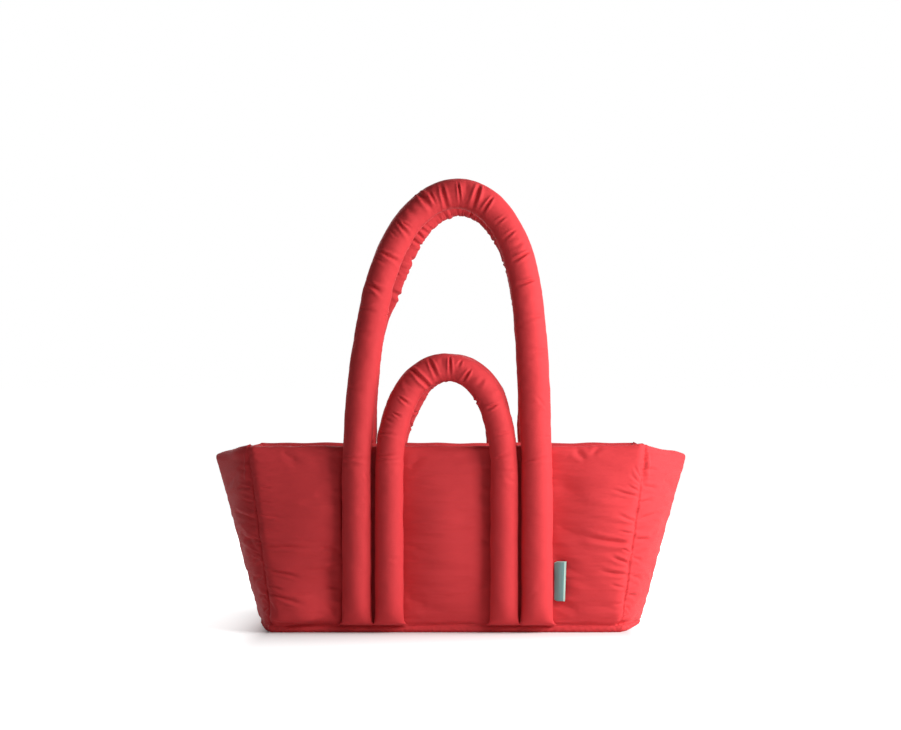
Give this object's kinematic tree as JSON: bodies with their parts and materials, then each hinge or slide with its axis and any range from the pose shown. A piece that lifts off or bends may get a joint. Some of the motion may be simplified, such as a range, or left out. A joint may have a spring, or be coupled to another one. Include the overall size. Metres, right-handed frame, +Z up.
{
  "type": "tote bag",
  "caption": "Padded nylon tote with splayed side gussets, an open mouth, long shoulder handles and short hand handles made of stuffed tubes, and a bare side label.",
  "frame": {"origin": "on the floor, in the middle of the base panel", "axes": "+X along the width to the right as seen from the front, +Y to the rear panel, +Z up"},
  "size_m": [0.4886, 0.2328, 0.4767],
  "materials": {
    "shell_nylon": "satin",
    "lining": "satin",
    "wadding": "matte",
    "label_tape": "matte",
    "snap_metal": "satin"
  },
  "bodies": {
    "bag": {"front_shell": "shell_nylon", "rear_shell": "shell_nylon", "left_gusset_shell": "shell_nylon", "right_gusset_shell": "shell_nylon", "base_shell": "shell_nylon", "front_wadding": "wadding", "rear_wadding": "wadding", "left_gusset_wadding": "wadding", "right_gusset_wadding": "wadding", "base_wadding": "wadding", "front_lining": "lining", "rear_lining": "lining", "left_gusset_lining": "lining", "right_gusset_lining": "lining", "base_lining": "lining", "rim_facing": "shell_nylon", "front_long_leg_left": "shell_nylon", "front_long_leg_right": "shell_nylon", "front_short_leg_left": "shell_nylon", "front_short_leg_right": "shell_nylon", "rear_long_leg_left": "shell_nylon", "rear_long_leg_right": "shell_nylon", "rear_short_leg_left": "shell_nylon", "rear_short_leg_right": "shell_nylon", "front_leg_cores": "wadding", "rear_leg_cores": "wadding", "pocket_panel": "lining", "pocket_hem": "shell_nylon", "snap_stud_half": "snap_metal", "snap_socket_half": "snap_metal"},
    "front_long_handle": {"front_long_handle": "shell_nylon", "front_long_handle_core": "wadding"},
    "rear_long_handle": {"rear_long_handle": "shell_nylon", "rear_long_handle_core": "wadding"},
    "front_short_handle": {"front_short_handle": "shell_nylon", "front_short_handle_core": "wadding"},
    "rear_short_handle": {"rear_short_handle": "shell_nylon", "rear_short_handle_core": "wadding"},
    "side_label": {"side_label": "label_tape"}
  },
  "joints": [
    {"name": "front_long_crease", "type": "hinge", "parent": "bag", "child": "front_long_handle", "pos_m": [0, -0.11635, 0.19753], "axis": [1, 0, 0], "range_deg": [-14, 138]},
    {"name": "rear_long_crease", "type": "hinge", "parent": "bag", "child": "rear_long_handle", "pos_m": [0, 0.11635, 0.19753], "axis": [-1, 0, 0], "range_deg": [-14, 138]},
    {"name": "front_short_crease", "type": "hinge", "parent": "bag", "child": "front_short_handle", "pos_m": [0, -0.11635, 0.19753], "axis": [1, 0, 0], "range_deg": [-20, 165]},
    {"name": "rear_short_crease", "type": "hinge", "parent": "bag", "child": "rear_short_handle", "pos_m": [0, 0.11635, 0.19753], "axis": [-1, 0, 0], "range_deg": [-20, 165]},
    {"name": "label_fold", "type": "hinge", "parent": "bag", "child": "side_label", "pos_m": [0.1135, -0.08827, 0.05395], "axis": [0, 0.0319, -0.9995], "range_deg": [0, 70]}
  ]
}
